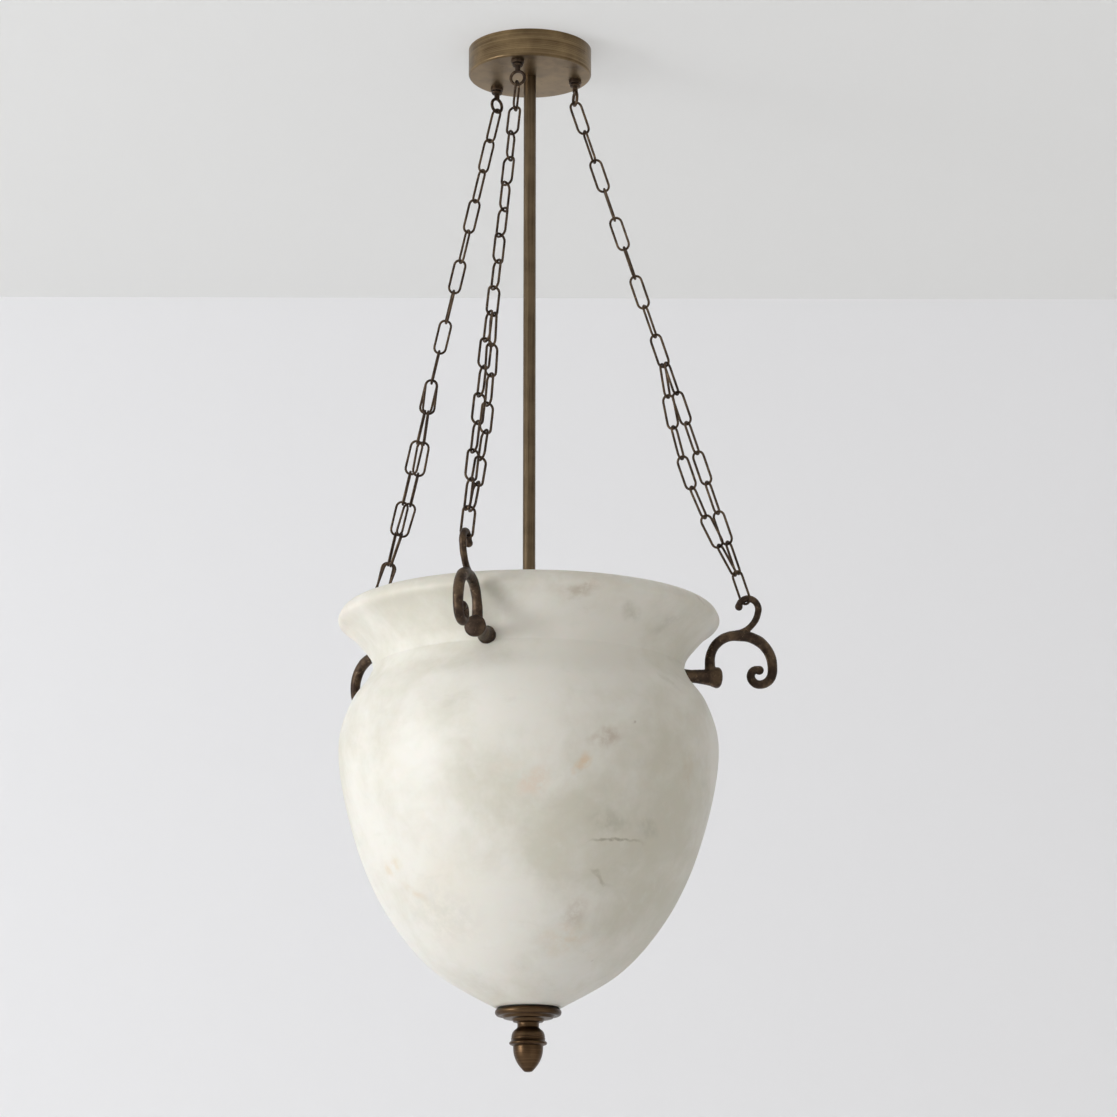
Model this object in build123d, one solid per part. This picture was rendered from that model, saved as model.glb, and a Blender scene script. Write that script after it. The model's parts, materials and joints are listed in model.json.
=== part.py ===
"""Alabaster bowl pendant: a turned stone urn carried by three chains, with a lamp cluster on a centre rod.

Millimetres. The ceiling is the plane z = 0 and the light hangs below it, so heights are negative.
The three chains stand at 0, 120 and 240 degrees, the first of them on +X.
"""
import os
from math import acos, asin, cos, degrees, pi, radians, sin, sqrt, tan

from build123d import *

# ---- layout
chain_count = 3
third = 360 / chain_count
lamp_count = 3
lamp_turn = 60                  # the lamps stand between the hooks
seat_play = 0.05                # between parts that are screwed or pressed together
loose_play = 0.25               # between a part and the hole that it passes through
past = 1.0                      # how far a cutting tool stands out past what it cuts

# ---- ceiling cup and what it holds
canopy_radius = 60.0
canopy_height = 27.0
canopy_wall = 1.2
canopy_edge = 2.5
stiffener_thickness = 3.0
stiffener_gap = 1.2             # between the stiffener and the inside of the cup's bend
bracket_width = 24.0
bracket_thickness = 2.0
bracket_ear = 14.0
bracket_gap = 1.8               # between the ears and the inside of the cup
slot_spacing = 70.0
slot_width = 5.0
slot_length = 14.0
cable_hole_radius = 10.0
side_screw_radius = 2.0
side_screw_drop = 9.7           # from the ceiling down to the side screws
side_screw_inside = 5.0         # how far they reach in past the ears' outer faces
screw_slot = 0.7
screw_slot_depth = 0.8
terminal_size = (28.0, 16.0, 12.0)
terminal_centre = (8.0, -31.0)
terminal_way_share = 0.45       # height of the ways in the block
way_screw_radius = 1.8
way_screw_depth = 3.5
earth_screw_place = (8.0, 31.0)
earth_head_radius = 4.0
earth_head = 3.0

# ---- eyelets
eyelet_inset = 14.0             # from the cup's side in to the eyelets
eyelet_circle = canopy_radius - eyelet_inset
eyelet_shank_radius = 3.0
eyelet_drop = 24.75             # from the cup down to the middle of the ring's lowest wire
eyelet_shank_above = 7.5        # shank over the stiffener
eyelet_stem_radius = 2.6
eyelet_collar = ((4.8, 6.0), (5.2, 4.8), (4.8, 3.6), (3.6, 3.1), (6.2, 2.6), (6.2, 0.0))   # radius, depth
eyelet_stem_drop = 6.6
eyelet_nut = 5.0
eyelet_nut_flats = 10.0
ring_radius = 6.75
ring_wire = 3.0
ring_sides = 8

# ---- centre rod and its fasteners
rod_radius = 6.0
rod_bore = 4.75
rod_nut_height = 6.0
rod_nut_flats = 19.0
rod_stub = 2.5                  # rod that stands above its top nut
washer_thickness = 1.5
washer_radius = 12.0
rod_into_finial = 12.0

# ---- bowl
bowl_top = -561.0
bowl_wall = 12.0
lip_radius = 179.6
lip_crest_radius = 160.0
lip_drop = 14.5                 # from the crest down to the widest line of the lip
neck_radius = 146.2
neck_drop = 60.0
belly_radius = 178.2
belly_drop = 134.0
foot_radius = 31.0
bowl_height = 377.5
floor_thickness = 14.5
floor_flat_radius = 34.0
rod_hole_radius = 7.0
seat_radius = 26.0
seat_plate = 3.0
spot_face = 1.5                 # flat on the stone round each washer
foot_slope = 0.36               # how steeply the belly runs into the foot
throat = ((-10.5, 7.5), (4.5, 36.0))    # out from the crest and from the inside of the neck, drop
lip_arcs, body_arcs, throat_arcs = 6, 12, 3
wall_steps = 16                 # the body's outline is cut into this many lengths for the inside of the wall
wall_corners = 13               # and this many of the corners are used, down to the edge of the floor

# ---- bottom plate and finial
felt_thickness = 1.0
plate_radius = 30.8
plate_rim = 7.3
plate_step_radius = 24.0
plate_step = 2.4
plate_hub_radius = 14.0
plate_hub = 2.8
plate_rim_top = 1.6             # how far the rim's roll stands out past its top edge
plate_rim_low = 2.6
finial_height = 46.0
finial_waist = 6.5
finial_shoulder = 9.5
finial_cup_drop = 17.5
finial_band = 4.0
finial_band_bevel = 0.6
finial_neck_radius = 10.8
finial_cup_radius = 15.6
finial_band_radius = 17.5
acorn_radius = 14.0
acorn_side_radius = 12.0
acorn_side_drop = 13.0
acorn_tip_radius = 5.0
acorn_tip = 1.6
thread_depth = 20.0

# ---- scroll hooks
foot_height = -617.3            # axis of the spool that stands on the bowl's neck
spool_length = 43.5
spool_flange_radius = 8.5
spool_waist_radius = 6.3
spool_button_radius = 10.2
spool_waist = ((0.13, 1.06), (0.28, 1.0), (0.55, 1.11))     # share of the length, of the waist's radius
spool_flange = 2.2
spool_button = 5.0
arm_offset = 32.0               # from the flange to the arm
arm_rise = 15.0
arch_in_radius = 27.0
arch_top = 8.0
arch_out_radius = 28.0
scroll_drop = 4.5
scroll_radii = (14.0, 8.0, 6.5)
limb_course = (("arc", arch_in_radius, 90), ("run", arch_top, 0), ("arc", arch_out_radius, 90),
               ("run", scroll_drop, 0), ("arc", scroll_radii[0], 90), ("arc", scroll_radii[1], 90),
               ("arc", scroll_radii[2], 110))       # degrees of bend
limb_radii = (5.4, 4.6, 5.0, 5.3, 4.9, 4.3, 3.7)
hook_radius = 10.0
hook_rise = 54.5                # from the middle of the arch limb up to the middle of the hook
hook_wire = 6.6
hook_radii = (3.3, 3.1, 3.3, 3.3, 3.3)
hook_side = 12.6                # from the middle of the arch to the middle of the hook
hook_root_radius = 28.3
hook_ball_radius = 3.9
hook_ends = (-8, 81, 172)       # degrees about the middle of the hook: root, top, tip
hook_root_ends = (-80, -44)     # about the middle of the root: start, halfway
limb_sides = 8
limb_step = 24                  # degrees of bend from one section of a limb to the next
hook_step = 22
stud_radius = 3.0
stud_hole_radius = 4.0
stud_into_spool = 18.0
washer_skin = 1.0
inner_washer = 1.5
inner_washer_radius = 10.0
inner_nut = 5.5
inner_nut_flats = 10.0
stud_past_nut = 1.0

# ---- chains: single links, then two strands side by side, then one link on the hook
single_links = 9
strand_links = 7
link_wire = 2.4
link_width = 13.7
link_play = 0.12                # daylight between a link and the one that it hangs in
link_sides = 6
strand_gap = 2.1                # daylight between the strands where they share a link
strand_sag = 13.0
chain_turn = 45.0               # how far the single links turn the chain about its own line
end_link_turn = 12.0
hook_play = 0.45                # daylight between the end link and the hook

# ---- lamp cluster
hub_height = -752.0             # middle of the hub
hub_radius = 18.0
hub_length = 20.0
arm_radius = 5.0
arm_bore = 3.9
arm_in_hub = 8.0
lamp_circle = 62.0
arm_bend = 12.0
arm_riser = 8.0
arm_into_holder = 7.0
holder_radius = 12.0
holder_length = 30.0
holder_base = 9.0
holder_steps = ((9.5, 0.0), (11.0, 6.0), (11.0, 12.0), (12.0, 14.0))     # radius, height
holder_bevel = 1.2
cap_radius = 6.9
cap_length = 22.0
cap_tip = ((3.2, 0.5), (4.2, 2.5), (6.9, 5.0))    # radius, height
cap_play = 0.35
bulb_radius = 22.5
bulb_neck_radius = 9.0
bulb_neck = 8.0
bulb_height = 54.0
flex_radius = 3.3
flex_below_rod_top = 1.5
core_radius = 1.0
core_ridge = 4.5                # how far the cores rise out of the sheathed lead
core_bend = 2.0
core_turn = (9.0, 5.0)          # in front of the block: where the cores turn down, where they turn in
core_in_block = 4.0
core_starts = ((-1.6, -1.2), (0.2, 1.6), (1.8, -1.0))
lead_radius = 1.9

# ---- worked out from the sizes above
canopy_floor = -canopy_height + canopy_wall
stiffener_top = canopy_floor + stiffener_thickness
rod_nut_seat = stiffener_top + washer_thickness
rod_top = rod_nut_seat + rod_nut_height + rod_stub
bowl_bottom = bowl_top - bowl_height
bowl_floor = bowl_bottom + floor_thickness
plate_top = bowl_bottom - felt_thickness
plate_bottom = plate_top - plate_rim - plate_step - plate_hub
rod_bottom = plate_bottom - rod_into_finial
hook_seat = neck_radius + washer_skin
hook_seat_inner = neck_radius - bowl_wall
arm_axis = hook_seat + arm_offset
arch_height = foot_height + arm_rise + arch_in_radius
hook_eye = (arm_axis + arch_in_radius + hook_side, arch_height + hook_rise - arch_in_radius)
hook_inside = hook_radius - hook_wire / 2
link_bend = (link_width - link_wire) / 2
holder_bottom = hub_height + arm_bend + arm_riser
cap_bottom = holder_bottom + holder_base
terminal_bottom = stiffener_top
terminal_top = terminal_bottom + terminal_size[2]
way_height = terminal_bottom + terminal_size[2] * terminal_way_share
ways = [terminal_centre[0] + way * terminal_size[0] / 3 for way in (-1, 0, 1)]
side_screw_height = -side_screw_drop
ear_face = canopy_radius - canopy_wall - bracket_gap
seat_plate_top = bowl_floor + felt_thickness + seat_plate
soft_face = hook_seat_inner - washer_skin
steel_face = soft_face - inner_washer
flex_top = rod_top - flex_below_rod_top


def rod_piece(radius, bottom, top, x=0.0, y=0.0):
    """A plain round bar between two heights."""
    return Pos(x, y, bottom) * Cylinder(radius, top - bottom, align=(Align.CENTER, Align.CENTER, Align.MIN))


def tube_piece(radius, bore, bottom, top):
    """A round bar with a hole right through it."""
    return rod_piece(radius, bottom, top) - rod_piece(bore, bottom - past, top + past)


def radial_bar(radius, start, end, height):
    """A round bar that lies along +X at one height."""
    return Pos(start, 0, height) * Rot(0, 90, 0) * Cylinder(
        radius, end - start, align=(Align.CENTER, Align.CENTER, Align.MIN))


def turned(outline):
    """A body of revolution about Z from a closed outline in the XZ plane."""
    return revolve(make_face(Wire(outline)), Axis.Z)


def corners(*points):
    """Straight edges through points given as radius and height."""
    return [Line((a[0], 0, a[1]), (b[0], 0, b[1])) for a, b in zip(points, points[1:])]


def hex_nut(flats, bore, bottom, top):
    """A hexagon nut with its axis on Z."""
    across = flats / 2 / cos(radians(30))
    body = extrude(Plane.XY.offset(bottom) * RegularPolygon(across, 6), top - bottom)
    return body - rod_piece(bore, bottom - past, top + past)


def around(piece, count, first=0.0):
    """Copies of a piece about the Z axis."""
    return [Rot(0, 0, first + i * 360 / count) * piece for i in range(count)]


def end_cap(radius, depth):
    """Halfway along the round end of a turned piece: distance out from the axis and in from the tip."""
    ball = (radius ** 2 + depth ** 2) / (2 * depth)
    half_turn = asin(radius / ball) / 2
    return ball * sin(half_turn), ball * (1 - cos(half_turn))


def group(pieces):
    """Several separate solids that go out as one file."""
    return Compound(children=[solid for piece in pieces for solid in piece.solids()])


# ---------------------------------------------------------------- ceiling cup

def canopy_cup():
    inner = canopy_radius - canopy_wall
    bend = canopy_edge - canopy_wall
    hole = rod_radius + loose_play
    low = -canopy_height
    quarter = sqrt(0.5)
    outer_arc = ThreePointArc(
        (canopy_radius, 0, low + canopy_edge),
        (canopy_radius - canopy_edge * (1 - quarter), 0, low + canopy_edge * (1 - quarter)),
        (canopy_radius - canopy_edge, 0, low))
    inner_arc = ThreePointArc(
        (canopy_radius - canopy_edge, 0, canopy_floor),
        (inner - bend * (1 - quarter), 0, canopy_floor + bend * (1 - quarter)),
        (inner, 0, canopy_floor + bend))
    outline = [outer_arc, inner_arc]
    outline += corners((canopy_radius - canopy_edge, low), (hole, low), (hole, canopy_floor),
                       (canopy_radius - canopy_edge, canopy_floor))
    outline += corners((inner, canopy_floor + bend), (inner, 0), (canopy_radius, 0),
                       (canopy_radius, low + canopy_edge))
    cup = turned(outline)
    shank_hole = rod_piece(eyelet_shank_radius + loose_play, low - past, 0, x=eyelet_circle)
    side_radius = side_screw_radius + loose_play
    side_hole = radial_bar(side_radius, inner - past, canopy_radius + past, side_screw_height)
    for cut in around(shank_hole, chain_count) + around(side_hole, 2):
        cup -= cut
    return cup


def canopy_stiffener():
    """The steel disc that spreads the pull of the chains over the cup's thin floor."""
    radius = canopy_radius - canopy_edge - stiffener_gap
    low, high = canopy_floor - past, stiffener_top + past
    disc = tube_piece(radius, rod_radius + loose_play, canopy_floor, stiffener_top)
    for hole in around(rod_piece(eyelet_shank_radius + loose_play, low, high, x=eyelet_circle), chain_count):
        disc -= hole
    return disc - rod_piece(side_screw_radius, low, high, *earth_screw_place)


def ceiling_bracket():
    bar = Pos(0, 0, -bracket_thickness / 2) * Box(2 * ear_face, bracket_width, bracket_thickness)
    ear = Pos(ear_face - bracket_thickness / 2, 0, -bracket_thickness - bracket_ear / 2) * Box(
        bracket_thickness, bracket_width, bracket_ear)
    bar = bar + around(ear, 2)
    slot = Pos(slot_spacing / 2, 0, -bracket_thickness - past) * extrude(
        SlotOverall(slot_length, slot_width), bracket_thickness + 2 * past)
    bar -= rod_piece(cable_hole_radius, -bracket_thickness - past, past)
    inside = ear_face - bracket_thickness - past
    screw_hole = radial_bar(side_screw_radius + seat_play, inside, ear_face + past, side_screw_height)
    for cut in around(slot, 2) + around(screw_hole, 2):
        bar -= cut
    return bar


def canopy_side_screws():
    screw = radial_bar(side_screw_radius, ear_face - side_screw_inside, canopy_radius, side_screw_height)
    slot = Box(2 * screw_slot_depth, 3 * side_screw_radius, screw_slot)
    return group(around(screw - Pos(canopy_radius, 0, side_screw_height) * slot, 2))


def terminal_block():
    length, depth, height = terminal_size
    x, y = terminal_centre
    block = Pos(x, y, terminal_bottom + height / 2) * Box(length, depth, height)
    for way in ways:
        block -= Pos(way, y, way_height) * Rot(90, 0, 0) * Cylinder(core_radius + seat_play, depth + 2 * past)
        block -= rod_piece(way_screw_radius, terminal_top - way_screw_depth, terminal_top + past, x=way, y=y)
    return block


def earth_screw():
    x, y = earth_screw_place
    top = stiffener_top + earth_head
    head = rod_piece(earth_head_radius, stiffener_top, top, x, y)
    shank = rod_piece(side_screw_radius - seat_play, canopy_floor, stiffener_top, x, y)
    return head + shank - Pos(x, y, top) * Box(3 * earth_head_radius, screw_slot, 2 * screw_slot_depth)


# ---------------------------------------------------------------- eyelets

def eyelet():
    """A stepped collar and a ring, on a shank that goes up through the cup's floor."""
    low = -canopy_height
    ring_middle = low - eyelet_drop + ring_radius
    ring_top = ring_middle + ring_radius
    shank_top = stiffener_top + eyelet_shank_above
    collar = [(radius, low - depth) for radius, depth in eyelet_collar]
    stem = [(0, ring_top), (eyelet_stem_radius, ring_top), (eyelet_stem_radius, low - eyelet_stem_drop)]
    shank = [(eyelet_shank_radius, low), (eyelet_shank_radius, shank_top), (0, shank_top)]
    outline = corners(*stem, *collar, *shank, (0, ring_top))
    section = Plane.XZ * Pos(ring_radius, 0) * RegularPolygon(ring_wire / 2, ring_sides)
    ring = Rot(0, 90, 0) * revolve(section, Axis.Z)
    return Pos(eyelet_circle, 0, 0) * (turned(outline) + Pos(0, 0, ring_middle) * ring)


def eyelet_nuts():
    bore = eyelet_shank_radius + seat_play
    nut = hex_nut(eyelet_nut_flats, bore, stiffener_top, stiffener_top + eyelet_nut)
    return group(around(Pos(eyelet_circle, 0, 0) * nut, chain_count))


# ---------------------------------------------------------------- centre rod

def centre_rod():
    rod = tube_piece(rod_radius, rod_bore, rod_bottom, rod_top)
    wire_hole = radial_bar(arm_bore, rod_bore - past, rod_radius + past, hub_height)
    for cut in around(wire_hole, lamp_count, lamp_turn):
        rod -= cut
    return rod


def rod_top_washer():
    return tube_piece(washer_radius, rod_radius + loose_play, stiffener_top, rod_nut_seat)


def rod_top_nut():
    return hex_nut(rod_nut_flats, rod_radius + seat_play, rod_nut_seat, rod_nut_seat + rod_nut_height)


# ---------------------------------------------------------------- bowl

def bowl_lip():
    """The outline from the lip's crest over its rounded edge and in to the neck, as radius and height."""
    flare = lip_radius - neck_radius
    return [
        (lip_crest_radius, bowl_top),
        (lip_radius - 7.2, bowl_top - lip_drop * 0.19),
        (lip_radius - 1.2, bowl_top - lip_drop * 0.58),
        (lip_radius - 0.3, bowl_top - lip_drop * 1.12),
        (neck_radius + flare * 0.64, bowl_top - neck_drop * 0.434),
        (neck_radius + flare * 0.13, bowl_top - neck_drop * 0.77),
        (neck_radius, bowl_top - neck_drop),
    ]


def bowl_body():
    """The outline from the neck over the shoulder and the belly down to the foot."""
    neck = bowl_top - neck_drop
    belly = bowl_top - belly_drop
    belly_height = belly - bowl_bottom
    swell = belly_radius - neck_radius
    shares = ((0.962, 0.22), (0.852, 0.48), (0.697, 0.69), (0.478, 0.868))
    points = [
        (neck_radius, neck),
        (neck_radius + swell * 0.2, neck - (neck - belly) * 0.18),
        (neck_radius + swell * 0.69, neck - (neck - belly) * 0.49),
        (belly_radius, belly),
    ]
    points += [(belly_radius * share, belly - belly_height * drop) for share, drop in shares]
    return points + [(foot_radius, bowl_bottom)]


def arcs_along(curve, count):
    """A smooth curve as a row of arcs, which mesh more lightly than the curve does."""
    places = [curve @ (step / (2 * count)) for step in range(2 * count + 1)]
    return [ThreePointArc(*places[2 * step:2 * step + 3]) for step in range(count)]


def alabaster_bowl():
    lip = Spline(*[(r, 0, z) for r, z in bowl_lip()], tangents=((1, 0, 0), (0, 0, -1)))
    body = Spline(*[(r, 0, z) for r, z in bowl_body()], tangents=((0, 0, -1), (-1, 0, -foot_slope)))
    (crest_out, crest_drop), (waist_out, waist_drop) = throat
    gorge = Spline((lip_crest_radius, 0, bowl_top),
                   (lip_crest_radius + crest_out, 0, bowl_top - crest_drop),
                   (hook_seat_inner + waist_out, 0, bowl_top - waist_drop),
                   (hook_seat_inner, 0, bowl_top - neck_drop),
                   tangents=((-1, 0, 0), (0, 0, -1)))
    inside = []
    for step in range(1, wall_corners + 1):
        along = body % (step / wall_steps)
        skin = body @ (step / wall_steps)
        inside.append((skin.X + along.Z * bowl_wall, skin.Z - along.X * bowl_wall))
    outline = arcs_along(lip, lip_arcs) + arcs_along(body, body_arcs) + arcs_along(gorge, throat_arcs)
    outline += corners((hook_seat_inner, bowl_top - neck_drop), *inside, (floor_flat_radius, bowl_floor),
                       (rod_hole_radius, bowl_floor), (rod_hole_radius, bowl_bottom),
                       (foot_radius, bowl_bottom))
    bowl = turned(outline)
    back, front = hook_seat_inner - bowl_wall, neck_radius + bowl_wall
    drilled = radial_bar(stud_hole_radius, back, front, foot_height)
    outer_face = radial_bar(spool_flange_radius + spot_face, neck_radius, front, foot_height)
    inner_face = radial_bar(inner_washer_radius + spot_face, back, hook_seat_inner, foot_height)
    for cut in around(drilled + outer_face + inner_face, chain_count):
        bowl -= cut
    return bowl


def bowl_seat_felt():
    return tube_piece(seat_radius, rod_radius + loose_play, bowl_floor, bowl_floor + felt_thickness)


def bowl_seat_plate():
    return tube_piece(seat_radius, rod_radius + loose_play, bowl_floor + felt_thickness, seat_plate_top)


def bowl_seat_nut():
    return hex_nut(rod_nut_flats, rod_radius + seat_play, seat_plate_top, seat_plate_top + rod_nut_height)


def bottom_felt():
    return tube_piece(foot_radius - 3, rod_hole_radius, plate_top, bowl_bottom)


# ---------------------------------------------------------------- bottom plate and finial

def bottom_plate():
    """A spun dish with a rolled rim, a raised step and a hub that the finial bears on."""
    bore = rod_radius + loose_play
    rim_low = plate_top - plate_rim
    step_low = rim_low - plate_step
    edge = plate_radius - plate_rim_top
    low_edge = plate_radius - plate_rim_low
    cove_end = plate_hub_radius + plate_rim_top
    half_way = (plate_top + rim_low) / 2
    rim = ThreePointArc((edge, 0, plate_top), (plate_radius, 0, half_way), (low_edge, 0, rim_low))
    cove_middle = (plate_step_radius - plate_step, 0, step_low + plate_step / 5)
    cove = ThreePointArc((plate_step_radius, 0, rim_low), cove_middle, (cove_end, 0, step_low))
    outline = [rim, cove]
    outline += corners((low_edge, rim_low), (plate_step_radius, rim_low))
    outline += corners((cove_end, step_low), (plate_hub_radius, plate_bottom), (bore, plate_bottom),
                       (bore, plate_top), (edge, plate_top))
    return turned(outline)


def acorn_finial():
    top = plate_bottom
    tip = top - finial_height
    waist = top - finial_waist
    cup_low = top - finial_cup_drop
    band_low = cup_low - finial_band
    bevel = finial_band_bevel
    tip_edge = tip + acorn_tip
    thread = rod_radius + seat_play
    cap_out, cap_in = end_cap(acorn_tip_radius, acorn_tip)
    dome = (finial_cup_radius - 2 * bevel, 0, top - finial_shoulder)
    shoulder = ThreePointArc((finial_neck_radius, 0, waist), dome, (finial_cup_radius, 0, cup_low))
    side = ThreePointArc((acorn_radius, 0, band_low), (acorn_side_radius, 0, band_low - acorn_side_drop),
                         (acorn_tip_radius, 0, tip_edge))
    end = ThreePointArc((acorn_tip_radius, 0, tip_edge), (cap_out, 0, tip + cap_in), (0, 0, tip))
    outline = [shoulder, side, end]
    outline += corners((thread, top), (finial_neck_radius, top),
                       (finial_neck_radius - bevel, top - 2 * bevel), (finial_neck_radius, waist))
    outline += corners((finial_cup_radius, cup_low), (finial_band_radius, cup_low - bevel),
                       (finial_band_radius, band_low + bevel), (acorn_radius, band_low))
    outline += corners((0, tip), (0, top - thread_depth), (thread, top - thread_depth), (thread, top))
    return turned(outline)


# ---------------------------------------------------------------- scroll hooks

def spool():
    """The foot of a hook, turned about its own axis, from the flange out to the button."""
    start = hook_seat
    end = start + spool_length
    flange = start + spool_flange
    shoulder = end - spool_button
    cap_out, cap_in = end_cap(spool_button_radius, spool_button)
    waist = [(start + spool_length * share, 0, spool_waist_radius * swell) for share, swell in spool_waist]
    cove = Spline((flange, 0, spool_flange_radius), *waist, (shoulder, 0, spool_button_radius))
    button = ThreePointArc((shoulder, 0, spool_button_radius), (end - cap_in, 0, cap_out), (end, 0, 0))
    outline = [cove, button]
    outline += corners((end, 0), (start, 0), (start, spool_flange_radius), (flange, spool_flange_radius))
    body = Pos(0, 0, foot_height) * revolve(make_face(Wire(outline)), Axis.X)
    socket_end = start + stud_into_spool + past
    return body - radial_bar(stud_radius + seat_play, start - past, socket_end, foot_height)


def limb_path():
    """The middle line of the arm, the arch and the scroll, all tangent arcs in the XZ plane."""
    edges = [Line((arm_axis, 0, foot_height), (arm_axis, 0, foot_height + arm_rise))]
    for kind, size, turn in limb_course:
        start = edges[-1] @ 1
        heading = edges[-1] % 1
        if kind == "run":
            edges.append(Line(start, start + heading * size))
            continue
        side = heading.rotate(Axis.Y, 90)
        centre = start + side * size
        middle = centre - (side * size).rotate(Axis.Y, turn / 2)
        end = centre - (side * size).rotate(Axis.Y, turn)
        edges.append(ThreePointArc(start, middle, end))
    return edges


def swept_limb(edges, radii, step_angle):
    """A bar of round-cornered section whose thickness changes evenly along its middle line."""
    path = Wire(edges)
    length = path.length
    stations = [0.0]
    for edge in edges:
        turn = degrees(acos(max(-1, min(1, (edge % 0).dot(edge % 1)))))
        pieces = max(1, round(turn / step_angle))
        here = stations[-1]
        stations += [here + edge.length / length * (i + 1) / pieces for i in range(pieces)]
    stations[-1] = 1.0
    sections = []
    for station in stations:
        place = station * (len(radii) - 1)
        index = min(int(place), len(radii) - 2)
        radius = radii[index] + (radii[index + 1] - radii[index]) * (place - index)
        plane = Plane(origin=path @ station, x_dir=(0, 1, 0), z_dir=path % station)
        sections.append(plane * Rot(0, 0, 180 / limb_sides) * RegularPolygon(radius, limb_sides))
    return loft(sections, ruled=True)


def hook_path():
    """The middle line of the thin hook that grows out of the arch and takes the chain."""
    reach = hook_root_radius - hook_radius
    leave = radians(hook_ends[0])
    root = (hook_eye[0] - reach * cos(leave), hook_eye[1] - reach * sin(leave))

    def on(centre, radius, angle):
        return (centre[0] + radius * cos(radians(angle)), 0, centre[1] + radius * sin(radians(angle)))

    rise = ThreePointArc(*[on(root, hook_root_radius, angle) for angle in (*hook_root_ends, hook_ends[0])])
    over = ThreePointArc(*[on(hook_eye, hook_radius, angle) for angle in hook_ends])
    return [rise, over]


def scroll_hook():
    limb = swept_limb(limb_path(), limb_radii, limb_step)
    thin = swept_limb(hook_path(), hook_radii, hook_step)
    tip = hook_path()[-1] @ 1
    return spool() + limb + thin + Pos(tip) * Sphere(hook_ball_radius)


def hook_studs():
    inner_end = steel_face - inner_nut - stud_past_nut
    stud = radial_bar(stud_radius, inner_end, hook_seat + stud_into_spool, foot_height)
    return group(around(stud, chain_count))


def radial_washer(radius, start, end):
    return radial_bar(radius, start, end, foot_height) - radial_bar(
        stud_radius + loose_play, start - past, end + past, foot_height)


def hook_outer_washers():
    return group(around(radial_washer(spool_flange_radius, neck_radius, hook_seat), chain_count))


def hook_inner_washers():
    return group(around(radial_washer(inner_washer_radius, soft_face, hook_seat_inner), chain_count))


def hook_steel_washers():
    return group(around(radial_washer(inner_washer_radius - 1, steel_face, soft_face), chain_count))


def hook_nuts():
    nut = hex_nut(inner_nut_flats, stud_radius + seat_play, 0, inner_nut)
    return group(around(Pos(steel_face, 0, foot_height) * Rot(0, -90, 0) * nut, chain_count))


# ---------------------------------------------------------------- chains

def chain_line():
    """The straight line of a chain, from the eyelet's lowest wire to the middle of the hook."""
    start = Vector(eyelet_circle, 0, -canopy_height - eyelet_drop)
    end = Vector(hook_eye[0], 0, hook_eye[1])
    return start, end, (end - start).normalized()


def width_direction(along, turn):
    """Across a link: at turn 0 in the chain's upright plane, at 90 level with the ceiling."""
    level = Vector(0, 1, 0)
    inward = level.cross(along)
    return inward * cos(radians(turn)) + level * sin(radians(turn))


def link(start, end, turn):
    """One link, its bore running from start to end, made of straight lengths of wire mitred at the bends."""
    along = (end - start).normalized()
    across = width_direction(along, turn)
    across = (across - along * across.dot(along)).normalized()
    half = (end - start).length / 2 + link_play / 2 + link_wire / 2
    knee = link_bend * tan(radians(22.5))
    bend_far = half - link_bend + knee
    shape = [(bend_far, link_bend), (half, knee), (half, -knee), (bend_far, -link_bend),
             (-bend_far, -link_bend), (-half, -knee), (-half, knee), (-bend_far, link_bend)]
    middle = (start + end) / 2
    points = [middle + along * u + across * v for u, v in shape]
    seam = (points[0] + points[-1]) / 2
    path = Wire.make_polygon([seam, *points, seam], close=False)
    section_plane = Plane(origin=path @ 0, x_dir=across, z_dir=path % 0)
    section = section_plane * RegularPolygon(link_wire / 2, link_sides)
    return sweep(section, path=path, transition=Transition.RIGHT)


def link_turn(number):
    """Links stand square to their neighbours, and the whole chain turns slowly about its line."""
    drift = chain_turn * min((number - 1) / (single_links - 1), 1)
    last = single_links + strand_links + 1
    return 90 * (number - 1) + drift + (end_link_turn if number == last else 0)


def chain_joints():
    """Where the links of one chain bear on each other: singles, strand a, strand b, end link."""
    start, end, along = chain_line()
    first = start - along * ring_wire / 2
    last = end - along * (hook_inside - hook_play)
    total = single_links + strand_links + 1
    pitch = (last - first).length / total
    singles = [first + along * pitch * i for i in range(single_links + 1)]
    fork_top = singles[-1]
    fork_low = first + along * pitch * (total - 1)
    spread = (link_wire + strand_gap) / 2
    bore = link_bend - link_wire - link_play
    lift = bore - sqrt(bore * bore - spread * spread)
    top_across = width_direction(along, link_turn(single_links))
    low_across = width_direction(along, link_turn(total))
    inward = width_direction(along, 0)
    strands = []
    for side, sag in ((1, strand_sag), (-1, 0.0)):
        upper = fork_top - along * lift + top_across * spread * side
        lower = fork_low + along * lift + low_across * spread * side
        shares = [i / strand_links for i in range(strand_links + 1)]
        strands.append([upper + (lower - upper) * share + inward * sag * sin(pi * share) for share in shares])
    return singles, strands[0], strands[1], [fork_low, last]


def run_of_links(joints, first_number):
    ends = enumerate(zip(joints, joints[1:]), first_number)
    return group([link(upper, lower, link_turn(number)) for number, (upper, lower) in ends])


def chain_pieces():
    singles, strand_a, strand_b, end = chain_joints()
    return {
        "single_links": run_of_links(singles, 1),
        "strand_a": run_of_links(strand_a, single_links + 1),
        "strand_b": run_of_links(strand_b, single_links + 1),
        "end_link": run_of_links(end, single_links + strand_links + 1),
    }


# ---------------------------------------------------------------- lamp cluster

def lamp_hub():
    low = hub_height - hub_length / 2
    hub = tube_piece(hub_radius, rod_radius + loose_play, low, low + hub_length)
    socket = radial_bar(arm_radius + seat_play, 0, hub_radius + past, hub_height)
    screw_hole = radial_bar(side_screw_radius + seat_play, 0, hub_radius + past, hub_height)
    for cut in around(socket, lamp_count, lamp_turn) + [screw_hole]:
        hub -= cut
    return hub


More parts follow.
